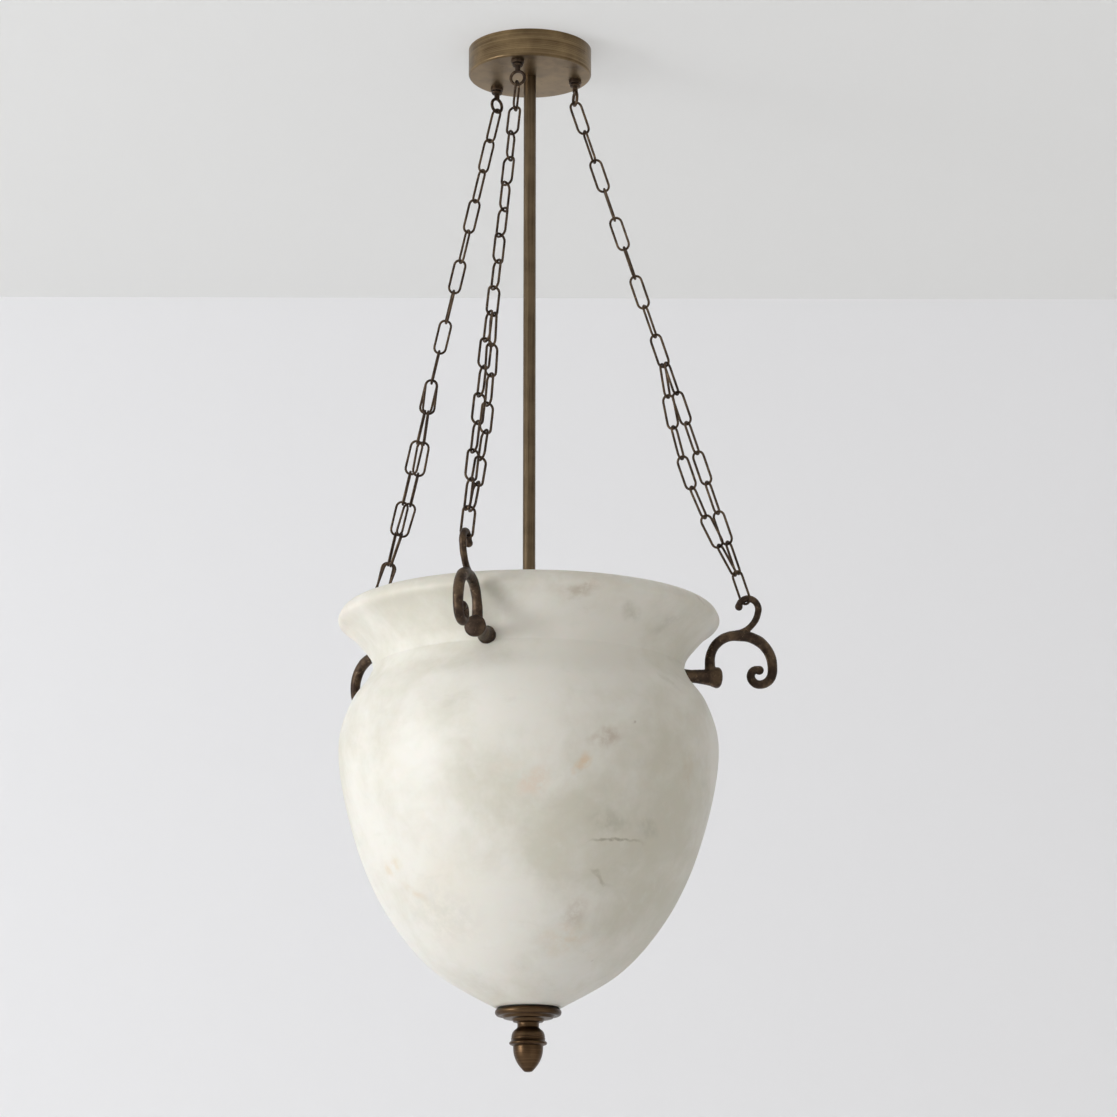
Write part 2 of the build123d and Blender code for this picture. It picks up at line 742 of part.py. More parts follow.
def hub_grub_screw():
    end = hub_radius - screw_slot_depth
    screw = radial_bar(side_screw_radius, rod_radius + seat_play, end, hub_height)
    return screw - Pos(end, 0, hub_height) * Box(2 * screw_slot_depth, screw_slot, 3 * side_screw_radius)


def arm_path(start):
    """Out of the hub, round one bend and up into the lampholder."""
    bend_start = lamp_circle - arm_bend
    quarter = sqrt(0.5)
    return Wire([
        Line((start, 0, hub_height), (bend_start, 0, hub_height)),
        ThreePointArc((bend_start, 0, hub_height),
                      (bend_start + arm_bend * quarter, 0, hub_height + arm_bend * (1 - quarter)),
                      (lamp_circle, 0, hub_height + arm_bend)),
        Line((lamp_circle, 0, hub_height + arm_bend), (lamp_circle, 0, holder_bottom + arm_into_holder)),
    ])


def lamp_arm():
    path = arm_path(hub_radius - arm_in_hub)
    outer = sweep(Plane(origin=path @ 0, z_dir=path % 0) * Circle(arm_radius), path=path)
    inner = sweep(Plane(origin=path @ 0, z_dir=path % 0) * Circle(arm_bore), path=path)
    return outer - inner


def lamp_lead():
    path = arm_path(rod_bore - past)
    return sweep(Plane(origin=path @ 0, z_dir=path % 0) * Circle(lead_radius), path=path)


def lampholder():
    """A moulded holder: the arm screws into its base and the lamp's cap into its mouth."""
    top = holder_bottom + holder_length
    mouth = cap_radius + cap_play
    neck = arm_radius + seat_play
    steps = [(radius, holder_bottom + height) for radius, height in holder_steps]
    rim = [(holder_radius, top - holder_bevel), (holder_radius - holder_bevel, top), (mouth, top)]
    outline = corners((neck, holder_bottom), *steps, *rim, (mouth, cap_bottom), (neck, cap_bottom),
                      (neck, holder_bottom))
    return Pos(lamp_circle, 0, 0) * turned(outline)


def bulb_cap():
    low = cap_bottom + cap_tip[0][1]
    top = cap_bottom + cap_length
    tip = [(radius, cap_bottom + height) for radius, height in cap_tip]
    return Pos(lamp_circle, 0, 0) * turned(corners((0, low), *tip, (cap_radius, top), (0, top), (0, low)))


def bulb_glass():
    base = cap_bottom + cap_length
    crown = base + bulb_height
    middle = crown - bulb_radius
    slant = bulb_radius * sqrt(0.5)
    side = Spline((cap_radius, 0, base), (bulb_neck_radius, 0, base + bulb_neck), (bulb_radius, 0, middle),
                  tangents=((0.1, 0, 1), (0, 0, 1)))
    dome = ThreePointArc((bulb_radius, 0, middle), (slant, 0, middle + slant), (0, 0, crown))
    outline = [side, dome] + corners((0, crown), (0, base), (cap_radius, base))
    return Pos(lamp_circle, 0, 0) * turned(outline)


def rod_flex():
    """The sheathed lead inside the rod, from its three cores down to the hub."""
    return rod_piece(flex_radius, hub_height + arm_radius, flex_top)


def supply_cores():
    """Three cores from the top of the sheathed lead over to the terminal block."""
    ridge = flex_top + core_ridge
    face = terminal_centre[1] + terminal_size[1] / 2
    over, down = [face + reach for reach in core_turn]
    cores = []
    for way, (start_x, start_y) in zip(ways, core_starts):
        path = FilletPolyline((start_x, start_y, flex_top), (start_x, start_y, ridge), (way, over, ridge),
                              (way, down, way_height), (way, face - core_in_block, way_height),
                              radius=core_bend)
        section = Plane(origin=path @ 0, z_dir=path % 0) * Circle(core_radius)
        cores.append(sweep(section, path=path))
    return group(cores)


# ---------------------------------------------------------------- everything

def all_pieces():
    pieces = {
        "canopy_cup": canopy_cup(),
        "canopy_stiffener": canopy_stiffener(),
        "ceiling_bracket": ceiling_bracket(),
        "canopy_side_screws": canopy_side_screws(),
        "terminal_block": terminal_block(),
        "earth_screw": earth_screw(),
        "eyelet_nuts": eyelet_nuts(),
        "centre_rod": centre_rod(),
        "rod_top_washer": rod_top_washer(),
        "rod_top_nut": rod_top_nut(),
        "alabaster_bowl": alabaster_bowl(),
        "bowl_seat_felt": bowl_seat_felt(),
        "bowl_seat_plate": bowl_seat_plate(),
        "bowl_seat_nut": bowl_seat_nut(),
        "bottom_felt": bottom_felt(),
        "bottom_plate": bottom_plate(),
        "acorn_finial": acorn_finial(),
        "hook_studs": hook_studs(),
        "hook_outer_washers": hook_outer_washers(),
        "hook_inner_washers": hook_inner_washers(),
        "hook_steel_washers": hook_steel_washers(),
        "hook_nuts": hook_nuts(),
        "lamp_hub": lamp_hub(),
        "hub_grub_screw": hub_grub_screw(),
        "rod_flex": rod_flex(),
        "supply_cores": supply_cores(),
        "lamp_leads": group(around(lamp_lead(), lamp_count, lamp_turn)),
    }
    chain = chain_pieces()
    hook = scroll_hook()
    ring = eyelet()
    for number in range(1, chain_count + 1):
        place = Rot(0, 0, third * (number - 1))
        pieces[f"eyelet_{number}"] = place * ring
        pieces[f"scroll_hook_{number}"] = place * hook
        for name, run in chain.items():
            pieces[f"chain_{number}_{name}"] = place * run
    lamp_parts = {
        "lamp_arm": lamp_arm(),
        "lampholder": lampholder(),
        "bulb_cap": bulb_cap(),
        "bulb_glass": bulb_glass(),
    }
    for number in range(1, lamp_count + 1):
        place = Rot(0, 0, lamp_turn + 360 / lamp_count * (number - 1))
        for name, piece in lamp_parts.items():
            pieces[f"{name}_{number}"] = place * piece
    return pieces


def main():
    os.makedirs("parts", exist_ok=True)
    pieces = all_pieces()
    for name, piece in pieces.items():
        export_step(piece, f"parts/{name}.step")
    print(len(pieces), "nodes")


main()
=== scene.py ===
import json
from math import cos, pi, radians, sin, sqrt

import bmesh
import bpy
from mathutils import Matrix, Vector, noise
from mathutils.geometry import interpolate_bezier


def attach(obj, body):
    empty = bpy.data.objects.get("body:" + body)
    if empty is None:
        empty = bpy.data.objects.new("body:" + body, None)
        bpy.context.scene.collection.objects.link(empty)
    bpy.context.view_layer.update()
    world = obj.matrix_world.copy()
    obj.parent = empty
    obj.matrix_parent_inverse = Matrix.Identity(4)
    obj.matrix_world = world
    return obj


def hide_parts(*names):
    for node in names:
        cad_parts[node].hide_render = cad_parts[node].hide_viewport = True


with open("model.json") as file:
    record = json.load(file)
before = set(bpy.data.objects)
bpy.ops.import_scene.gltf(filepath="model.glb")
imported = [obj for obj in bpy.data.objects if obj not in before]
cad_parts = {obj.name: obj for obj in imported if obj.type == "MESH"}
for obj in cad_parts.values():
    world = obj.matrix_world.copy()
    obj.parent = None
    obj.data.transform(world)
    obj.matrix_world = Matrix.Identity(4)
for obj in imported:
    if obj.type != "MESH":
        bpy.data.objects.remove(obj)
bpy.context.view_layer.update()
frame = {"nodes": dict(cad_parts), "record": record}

mm = 0.001
print("frame loaded")


# sRGB 0-255 to the linear colour that Blender wants
def tone(red, green, blue):
    shares = (red / 255, green / 255, blue / 255)
    return tuple(s / 12.92 if s <= 0.04 else ((s + 0.055) / 1.055) ** 2.4 for s in shares) + (1,)


# a shader socket that can be used in ordinary sums
class Reading:
    def __init__(self, mixer, socket):
        self.mixer = mixer
        self.socket = socket

    def sum(self, operation, a, b):
        return self.mixer.add("Math", {"operation": operation}, {0: a, 1: b})

    def __add__(self, other):
        return self.sum("ADD", self, other)

    def __radd__(self, other):
        return self.sum("ADD", other, self)

    def __sub__(self, other):
        return self.sum("SUBTRACT", self, other)

    def __rsub__(self, other):
        return self.sum("SUBTRACT", other, self)

    def __mul__(self, other):
        return self.sum("MULTIPLY", self, other)

    def __rmul__(self, other):
        return self.sum("MULTIPLY", other, self)


# the nodes of one material or world
class Mixer:
    def __init__(self, holder):
        holder.use_nodes = True
        self.holder = holder
        self.tree = holder.node_tree
        self.tree.nodes.clear()

    def add(self, kind, settings=None, sockets=None, out=0):
        node = self.tree.nodes.new("ShaderNode" + kind)
        for key, value in (settings or {}).items():
            if key == "stops":
                ramp = node.color_ramp
                while len(ramp.elements) < len(value):
                    ramp.elements.new(0.5)
                for stop, (place, colour) in zip(ramp.elements, value):
                    stop.position = place
                    stop.color = colour
            else:
                setattr(node, key, value)
        for key, value in (sockets or {}).items():
            if isinstance(value, Reading):
                self.tree.links.new(value.socket, node.inputs[key])
            else:
                node.inputs[key].default_value = value
        return Reading(self, node.outputs[out] if node.outputs else None)

    def place(self):
        return self.add("TexCoord", out="Object")

    def cloud(self, where, scale, detail=4.0, rough=0.55, warp=0.0):
        sockets = {"Vector": where, "Scale": scale, "Detail": detail, "Roughness": rough, "Distortion": warp}
        return self.add("TexNoise", None, sockets)

    def step(self, value, low, high):
        sockets = {"Value": value, "From Min": low, "From Max": high}
        return self.add("MapRange", {"interpolation_type": "SMOOTHSTEP"}, sockets)

    def blend(self, share, first, second):
        return self.add("Mix", {"data_type": "RGBA"}, {0: share, 6: first, 7: second}, out=2)

    def stretch(self, where, scale):
        return self.add("Mapping", None, {"Vector": where, "Scale": scale})

    def shifted(self, where, scale, detail, reach):
        drift = self.add("TexNoise", None, {"Vector": where, "Scale": scale, "Detail": detail}, out="Color")
        centred = self.add("VectorMath", {"operation": "SUBTRACT"}, {0: drift, 1: (0.5, 0.5, 0.5)})
        shift = self.add("VectorMath", {"operation": "SCALE"}, {0: centred, "Scale": reach})
        return self.add("VectorMath", {"operation": "ADD"}, {0: where, 1: shift})

    # 1 in the middle of an oval patch on a round body, 0 at its edge
    def patch(self, where, centre, turn, size):
        sockets = {"Vector": where, "Location": centre, "Rotation": turn, "Scale": size}
        local = self.add("Mapping", {"vector_type": "TEXTURE"}, sockets)
        away = self.add("VectorMath", {"operation": "LENGTH"}, {0: local}, out="Value")
        return self.step(away, 1.0, 0.25)

    def bump(self, height, depth):
        return self.add("Bump", None, {"Height": height, "Distance": depth})

    def close(self, **sockets):
        named = {key.replace("_", " "): value for key, value in sockets.items()}
        surface = self.add("BsdfPrincipled", None, named)
        self.add("OutputMaterial", None, {"Surface": surface})
        return self.holder


# outlines as radius and height in mm
bowlShape = {
    "lip": [(160, -561), (172.4, -563.755), (178.4, -569.41), (179.3, -577.24), (167.576, -587.04),
            (150.542, -607.2), (146.2, -621)],
    "body": [(146.2, -621), (152.6, -634.32), (168.28, -657.26), (178.2, -695), (171.428, -748.57),
             (151.826, -811.88), (124.205, -863.015), (85.18, -906.358), (31, -938.5)],
    "throat": [(160, -561), (149.5, -568.5), (138.7, -597), (134.2, -621)],
    "inside": [(134.2, -621), (141.2, -637), (157.0, -661.5), (166.2, -696), (159.7, -745.5), (141.0, -806.5),
               (114.8, -854.5), (79.0, -894.0), (34.0, -924.0)],
    "hole": 7.0,
    "floor": -924.0,
    "foot": -938.5,
}
stoneLook = {
    "pale": tone(238, 235, 226),
    "cool": tone(217, 213, 198),
    "warm": tone(229, 218, 198),
    "roughness": 0.5,
    "coat": 0.06,
    "glow": 0.12,              # share of light that goes into the stone
    "drift": 0.05,             # how far the veining is pulled about, in metres
    "tremble": 0.02,
}
# degrees round, height in mm, half width and half height in mm, tilt up to the right, strength, colour
stoneMarks = [
    (-82, -716, 24, 11, 18, 0.6, tone(190, 172, 154)),
    (-73, -702, 3, 2, 20, 0.8, tone(140, 116, 94)),
    (-89, -740, 15, 8, 40, 0.6, tone(226, 198, 162)),
    (-103, -756, 26, 14, 25, 0.55, tone(228, 208, 188)),
    (-111, -743, 20, 10, 10, 0.4, tone(230, 220, 204)),
    (-78, -788, 32, 13, -8, 0.55, tone(186, 184, 166)),
    (-62, -790, 20, 12, -25, 0.5, tone(186, 184, 168)),
    (-74, -804, 36, 2.6, 4, 0.7, tone(160, 154, 130)),
    (-77, -838, 20, 3, -24, 0.5, tone(172, 166, 144)),
    (-84, -866, 16, 20, -10, 0.5, tone(196, 182, 166)),
    (-87, -894, 34, 22, 15, 0.55, tone(226, 206, 178)),
    (-62, -902, 3, 2, 0, 0.8, tone(138, 112, 88)),
    (-162, -822, 24, 10, 14, 0.6, tone(226, 210, 180)),
    (-153, -846, 24, 7, -32, 0.5, tone(224, 206, 180)),
    (-144, -869, 60, 40, -10, 0.4, tone(214, 211, 200)),
    (-89, -580, 24, 8, 12, 0.6, tone(196, 182, 164)),
    (-70, -594, 26, 7, -30, 0.5, tone(188, 185, 168)),
    (-53, -598, 24, 9, 25, 0.5, tone(184, 182, 166)),
    (-45, -565, 34, 3, -28, 0.5, tone(186, 183, 168)),
    (-54, -652, 20, 6, -35, 0.4, tone(202, 198, 184)),
    (-49, -732, 13, 26, 0, 0.4, tone(214, 198, 176)),
    (-132, -646, 60, 7, 22, 0.4, tone(222, 218, 206)),
    (20, -800, 50, 16, 25, 0.5, tone(198, 190, 172)),
    (95, -730, 60, 18, -20, 0.5, tone(204, 196, 180)),
    (140, -840, 40, 20, 15, 0.5, tone(222, 204, 180)),
]
markDepth = 0.045


def alabaster():
    mix = Mixer(bpy.data.materials.new("alabaster"))
    where = mix.place()
    warped = mix.shifted(where, 7.0, 3.0, stoneLook["drift"])
    trembling = mix.shifted(where, 45.0, 5.0, stoneLook["tremble"])
    clouds = mix.step(mix.cloud(warped, 5.5, 6.0, 0.62), 0.38, 0.62)
    colour = mix.blend(clouds, stoneLook["pale"], stoneLook["cool"])
    warmth = mix.step(mix.cloud(warped, 3.6, 3.0, 0.5), 0.52, 0.74)
    colour = mix.blend(warmth * 0.6, colour, stoneLook["warm"])
    streaks = mix.step(mix.cloud(mix.stretch(warped, (1.0, 1.0, 2.6)), 16.0, 8.0, 0.7), 0.55, 0.78)
    colour = mix.blend(streaks * 0.35, colour, tone(206, 203, 190))
    frost = mix.step(mix.cloud(where, 60.0, 6.0, 0.7), 0.5, 0.8)
    colour = mix.blend(frost * 0.25, colour, tone(244, 243, 239))
    grain = mix.step(mix.cloud(where, 90.0, 5.0, 0.65), 0.3, 0.62)
    for turn, height, wide, high, tilt, strength, mark in stoneMarks:
        reach = max(r for r, z in bowlShape["body"] + bowlShape["lip"] if abs(z - height) < 40) * mm
        centre = (reach * cos(radians(turn)), reach * sin(radians(turn)), height * mm)
        spin = (0, radians(-tilt), radians(turn + 90))
        share = mix.patch(trembling, centre, spin, (wide * mm, markDepth, high * mm))
        colour = mix.blend(share * grain * strength, colour, mark)
    return mix.close(Base_Color=colour, Roughness=stoneLook["roughness"], Coat_Weight=stoneLook["coat"],
                     Coat_Roughness=0.3, Subsurface_Weight=stoneLook["glow"], Subsurface_Scale=0.01)


# brushed and darkened brass; the brush lines run across the stretched directions
def brushedBrass(name, brush, dark, light, edge):
    mix = Mixer(bpy.data.materials.new(name))
    where = mix.place()
    colour = mix.blend(mix.step(mix.cloud(where, 34.0, 5.0, 0.6), 0.3, 0.7), dark, light)
    lines = mix.cloud(mix.stretch(where, brush), 1.0, 4.0, 0.7)
    colour = mix.blend(mix.step(lines, 0.35, 0.75) * 0.5, colour, edge)
    spots = mix.step(mix.cloud(where, 160.0, 3.0, 0.6), 0.62, 0.8)
    colour = mix.blend(spots * 0.45, colour, tone(78, 64, 48))
    return mix.close(Base_Color=colour, Roughness=lines * 0.2 + (spots * 0.12 + 0.26), Metallic=0.95,
                     Normal=mix.bump(lines, 0.00003))


# cast and drawn metal with a dark skin that is rubbed through in places
def wornBronze():
    mix = Mixer(bpy.data.materials.new("darkBronze"))
    where = mix.place()
    skin = mix.step(mix.cloud(where, 70.0, 5.0, 0.65), 0.38, 0.64)
    colour = mix.blend(skin, tone(58, 46, 38), tone(96, 79, 62))
    worn = mix.step(mix.cloud(where, 210.0, 4.0, 0.7), 0.56, 0.74)
    colour = mix.blend(worn * 0.7, colour, tone(146, 124, 98))
    return mix.close(Base_Color=colour, Roughness=0.5 - worn * 0.16, Metallic=0.85,
                     Normal=mix.bump(mix.cloud(where, 300.0, 4.0), 0.00015))


def plainMaterial(name, colour, roughness, metallic=0.0, spread=0.12, grain=120.0):
    mix = Mixer(bpy.data.materials.new(name))
    where = mix.place()
    patches = mix.cloud(where, grain, 4.0, 0.6)
    dark = tuple(c * (1 - spread) for c in colour[:3]) + (1,)
    light = tuple(min(1, c * (1 + spread)) for c in colour[:3]) + (1,)
    return mix.close(Base_Color=mix.blend(patches, dark, light),
                     Roughness=patches * 0.14 + (roughness - 0.07),
                     Metallic=metallic, Normal=mix.bump(mix.cloud(where, grain * 8, 2.0), 0.00002))


looks = {
    "alabaster": alabaster(),
    "brass": brushedBrass("antiqueBrass", (6.0, 6.0, 900.0), tone(88, 71, 50), tone(128, 107, 77),
                          tone(176, 152, 114)),
    "rodBrass": brushedBrass("rodBrass", (900.0, 900.0, 8.0), tone(78, 64, 48), tone(102, 86, 66),
                             tone(140, 122, 96)),
    # the bottom plate and finial get a darker copy of the antique brass: its darker tones are painted shade,
    # the same brass darkened so that it looks dim
    "finialBrassPaintedShade": brushedBrass("finialBrassPaintedShade", (20.0, 20.0, 700.0), tone(52, 38, 26), tone(82, 62, 43),
                                tone(120, 96, 68)),
    "bronze": wornBronze(),
    "steel": plainMaterial("platedSteel", tone(178, 178, 176), 0.32, 1.0),
    "plainBrass": plainMaterial("plainBrass", tone(196, 168, 112), 0.3, 1.0),
    "felt": plainMaterial("felt", tone(74, 70, 66), 0.95, 0.0, 0.3, 900.0),
    "rubber": plainMaterial("softWasher", tone(52, 50, 48), 0.8),
    "terminal": plainMaterial("terminalPlastic", tone(222, 220, 214), 0.45, 0.0, 0.03),
    "holder": plainMaterial("holderPlastic", tone(40, 38, 36), 0.4, 0.0, 0.1),
    "sheath": plainMaterial("flexSheath", tone(216, 214, 208), 0.5, 0.0, 0.03),
    "core": plainMaterial("coreSheath", tone(120, 84, 52), 0.45, 0.0, 0.1),
    "cap": plainMaterial("bulbCapMetal", tone(205, 205, 204), 0.3, 1.0, 0.06),
    "bulb": plainMaterial("bulbGlass", tone(240, 239, 233), 0.3, 0.0, 0.02),
}
slotLooks = {
    "antique_brass": "brass", "dark_bronze": "bronze", "alabaster": "alabaster", "plated_steel": "steel",
    "plain_brass": "plainBrass", "felt": "felt", "soft_washer": "rubber", "terminal_plastic": "terminal",
    "holder_plastic": "holder", "flex_sheath": "sheath", "core_sheath": "core", "bulb_cap_metal": "cap",
    "bulb_glass": "bulb",
}
for subpart in frame["record"]["subparts"]:
    node = frame["nodes"][subpart["node"]]
    for index in range(len(node.material_slots)):
        node.material_slots[index].material = looks[slotLooks[subpart["material_slot"]]]
print("materials made")


# a smooth line through points in the upright plane, as radius and height in mm
def smoothLine(points, perSpan=10):
    ends = [Vector((r, 0, z)) for r, z in points]
    line = []
    for i in range(len(ends) - 1):
        before = ends[max(i - 1, 0)]
        after = ends[min(i + 2, len(ends) - 1)]
        leave = ends[i] + (ends[i + 1] - before) / 6
        arrive = ends[i + 1] - (after - ends[i]) / 6
        span = interpolate_bezier(ends[i], leave, arrive, ends[i + 1], perSpan + 1)
        line += [(p.x, p.z) for p in span[:-1]]
    return line + [points[-1]]


def arcLine(centre, radius, start, end, count=8):
    turns = [radians(start + (end - start) * i / count) for i in range(count + 1)]
    return [(centre[0] + radius * cos(t), centre[1] + radius * sin(t)) for t in turns]


# turn an outline about the upright axis; a closed outline gives a ring
def spinOutline(outline, closed, steps=96):
    mesh = bmesh.new()
    points = [mesh.verts.new((r * mm, 0, z * mm)) for r, z in outline]
    pairs = list(zip(points, points[1:])) + ([(points[-1], points[0])] if closed else [])
    lines = [mesh.edges.new(pair) for pair in pairs]
    bmesh.ops.spin(mesh, geom=points + lines, cent=(0, 0, 0), axis=(0, 0, 1), angle=2 * pi, steps=steps,
                   use_merge=True)
    bmesh.ops.remove_doubles(mesh, verts=mesh.verts, dist=1e-6)
    bmesh.ops.recalc_face_normals(mesh, faces=mesh.faces)
    return mesh


def turnShape(mesh, degreesRound, about="Z"):
    turn = Matrix.Rotation(radians(degreesRound), 3, about)
    bmesh.ops.rotate(mesh, verts=mesh.verts, cent=(0, 0, 0), matrix=turn)
    return mesh


def moveShape(mesh, x, y, z):
    bmesh.ops.translate(mesh, verts=mesh.verts, vec=(x * mm, y * mm, z * mm))
    return mesh


def joined(shapes):
    whole = bmesh.new()
    for shape in shapes:
        spare = bpy.data.meshes.new("spare")
        shape.to_mesh(spare)
        whole.from_mesh(spare)
        shape.free()
        bpy.data.meshes.remove(spare)
    return whole


def makePiece(name, mesh, look, body, nodes=(), crease=35):
    data = bpy.data.meshes.new(name)
    mesh.to_mesh(data)
    mesh.free()
    for face in data.polygons:
        face.use_smooth = True
    data.set_sharp_from_angle(angle=radians(crease))
    data.materials.append(looks[look])
    piece = bpy.data.objects.new(name, data)
    bpy.context.scene.collection.objects.link(piece)
    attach(piece, body)
    if nodes:
        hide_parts(*nodes)
    return piece


# a bar that follows stations of place, heading and radius, all in the upright plane
def sweepBar(stations, sides=16):
    mesh = bmesh.new()
    side = Vector((0, 1, 0))
    ring = bmesh.ops.create_circle(mesh, radius=1.0, segments=sides, cap_ends=True)["verts"]
    end = mesh.faces[:][0]
    laid = None
    for place, heading, radius in stations:
        across = side.cross(heading).normalized()
        turn = Matrix((side, across, heading)).transposed().to_4x4()
        swell = Matrix.Diagonal((radius * mm, radius * mm, radius * mm, 1))
        now = Matrix.Translation(place * mm) @ turn @ swell
        if laid is None:
            bmesh.ops.transform(mesh, matrix=now, verts=ring)
        else:
            grown = bmesh.ops.extrude_face_region(mesh, geom=[end], use_keep_orig=len(mesh.faces) == 1)
            ring = [item for item in grown["geom"] if isinstance(item, bmesh.types.BMVert)]
            end = [item for item in grown["geom"] if isinstance(item, bmesh.types.BMFace)][0]
            bmesh.ops.transform(mesh, matrix=now @ laid.inverted(), verts=ring)
        laid = now
    bmesh.ops.recalc_face_normals(mesh, faces=mesh.faces)
    return mesh


cupShape = {"radius": 60.0, "height": 27.0, "wall": 1.2, "edge": 2.5, "rodHole": 6.25}


def ceilingCup():
    radius, wall, edge = cupShape["radius"], cupShape["wall"], cupShape["edge"]
    low = -cupShape["height"]
    bend = edge - wall
    outline = [(radius - wall, 0), (radius, 0)]
    outline += arcLine((radius - edge, low + edge), edge, 0, -90)
    outline += [(cupShape["rodHole"], low), (cupShape["rodHole"], low + wall)]
    outline += arcLine((radius - edge, low + edge), bend, -90, 0)
    return makePiece("ceilingCup", spinOutline(outline, True, 128), "brass", "fitting",
                     ["canopy_cup"])


rodShape = {"radius": 6.0, "bore": 4.75, "top": -12.8, "bottom": -964.0}


def centreRod():
    radius, bore, top, bottom = (rodShape[key] for key in ("radius", "bore", "top", "bottom"))
    outline = [(bore, top), (radius, top), (radius, bottom), (bore, bottom)]
    return makePiece("centreRod", spinOutline(outline, True, 48), "rodBrass", "fitting",
                     ["centre_rod"])


eyeletShape = {"circle": 46.0, "ring": 6.75, "wire": 1.5, "ringMiddle": -45.0}


def eyelet(number):
    low = -cupShape["height"]
    profile = [(0, -38.5), (2.6, -38.3), (2.6, low - 6.7), (3.2, low - 6.5), (4.6, low - 6.1)]
    profile += arcLine((4.4, low - 4.8), 0.85, -80, 80, 6)
    profile += [(3.7, low - 3.6), (3.7, low - 3.2), (5.2, low - 2.9)]
    profile += arcLine((5.6, low - 2.2), 0.6, -90, 0, 4)
    profile += [(6.2, low), (3, low), (3, -15.3), (0, -15.3)]
    collar = spinOutline(profile, False, 48)
    ring = bmesh.new()
    made = bmesh.ops.create_circle(ring, radius=eyeletShape["wire"] * mm, segments=14)["verts"]
    bmesh.ops.rotate(ring, verts=made, cent=(0, 0, 0), matrix=Matrix.Rotation(pi / 2, 3, "Y"))
    bmesh.ops.rotate(ring, verts=made, cent=(0, 0, 0), matrix=Matrix.Rotation(pi / 2, 3, "Z"))
    bmesh.ops.translate(ring, verts=made, vec=(0, 0, eyeletShape["ring"] * mm))
    bmesh.ops.spin(ring, geom=made + ring.edges[:], cent=(0, 0, 0), axis=(1, 0, 0), angle=2 * pi, steps=40,
                   use_merge=True)
    bmesh.ops.remove_doubles(ring, verts=ring.verts, dist=1e-6)
    bmesh.ops.recalc_face_normals(ring, faces=ring.faces)
    moveShape(ring, 0, 0, eyeletShape["ringMiddle"])
    shape = turnShape(moveShape(joined([collar, ring]), eyeletShape["circle"], 0, 0), 120 * (number - 1))
    return makePiece(f"eyelet{number}", shape, "bronze", "fitting", [f"eyelet_{number}"])


ceilingCup()
centreRod()
for number in (1, 2, 3):
    eyelet(number)
print("ceiling end made")


def stoneBowl():
    lip = smoothLine(bowlShape["lip"], 8)
    body = smoothLine(bowlShape["body"], 10)
    throat = smoothLine(bowlShape["throat"], 6)
    inside = smoothLine(bowlShape["inside"], 6)
    drilled = [(bowlShape["hole"], bowlShape["foot"]), (bowlShape["hole"], bowlShape["floor"])]
    outline = lip + body[1:] + drilled + inside[::-1] + throat[::-1][1:-1]
    return makePiece("stoneBowl", spinOutline(outline, True, 160), "alabaster", "fitting",
                     ["alabaster_bowl"], 50)


plateShape = {"bore": 6.25, "top": -939.5, "rimLow": -946.8, "stepLow": -949.2, "bottom": -952.0}
finialShape = {"thread": 6.05, "threadDepth": 20.0, "height": 46.0}


def bottomPlate():
    bore, top, rimLow, stepLow, bottom = plateShape.values()
    outline = [(bore, bottom), (bore, top), (29.2, top)]
    outline += arcLine((27.2, -943.1), 3.6, 75, -75, 14)
    outline += [(26.4, rimLow + 0.5), (25.2, rimLow + 0.9), (24.4, rimLow + 0.2)]
    outline += [(23.9, rimLow - 0.4), (22.9, stepLow + 0.6), (21.2, stepLow + 0.1), (17.4, stepLow)]
    outline += [(15.6, stepLow), (15.0, stepLow - 0.8), (14.0, bottom + 0.5), (13.4, bottom)]
    return makePiece("bottomPlate", spinOutline(outline, True, 96), "finialBrassPaintedShade", "bottom_plate",
                     ["bottom_plate"])


def acornFinial():
    thread, threadDepth, height = finialShape.values()
    top = plateShape["bottom"]
    tip = top - height
    outline = [(thread, top), (10.6, top), (10.9, top - 0.4), (10.0, top - 1.3), (10.0, top - 4.4)]
    outline += [(10.4, top - 5.3), (11.2, top - 6.2), (12.8, top - 7.4), (14.2, top - 9.0)]
    outline += [(15.1, top - 11.2), (15.5, top - 13.4), (15.2, top - 14.0), (15.7, top - 14.6)]
    outline += [(15.8, top - 15.8), (15.4, top - 16.4), (15.9, top - 17.2)]
    outline += arcLine((16.1, top - 19.4), 1.4, 70, -70, 8)
    outline += [(14.6, top - 21.6), (13.7, top - 22.0)]
    side = smoothLine([(13.9, top - 22.6), (13.6, top - 27.5), (12.2, top - 33.0), (9.4, top - 38.6),
                       (5.4, top - 43.6), (3.4, top - 45.4), (0.0, tip)], 6)
    outline += side
    outline += [(0.0, top - threadDepth), (thread, top - threadDepth)]
    shape = spinOutline(outline, True, 96)
    return makePiece("acornFinial", shape, "finialBrassPaintedShade", "acorn_finial", ["acorn_finial"])


stoneBowl()
bottomPlate()
acornFinial()
print("bowl and finial made")


hookShape = {
    "seat": 147.2, "foot": -617.3, "armAxis": 179.2, "armRise": 15.0,
    "limbCourse": [("arc", 27.0, 90), ("run", 8.0, 0), ("arc", 28.0, 90), ("run", 4.5, 0), ("arc", 14.0, 90),
                   ("arc", 8.0, 90), ("arc", 6.5, 110)],
    "limbRadii": [5.4, 4.6, 5.0, 5.3, 4.9, 4.3, 3.9],
    "eye": (218.8, -547.8), "hookRadius": 10.0, "rootRadius": 28.3, "wire": 3.3, "ball": 3.9,
    "voxel": 0.62,
    "scrollEnd": 4.4,
    "lumps": ((140, 0.22), (420, 0.07)),       # how fine, how high in mm
}


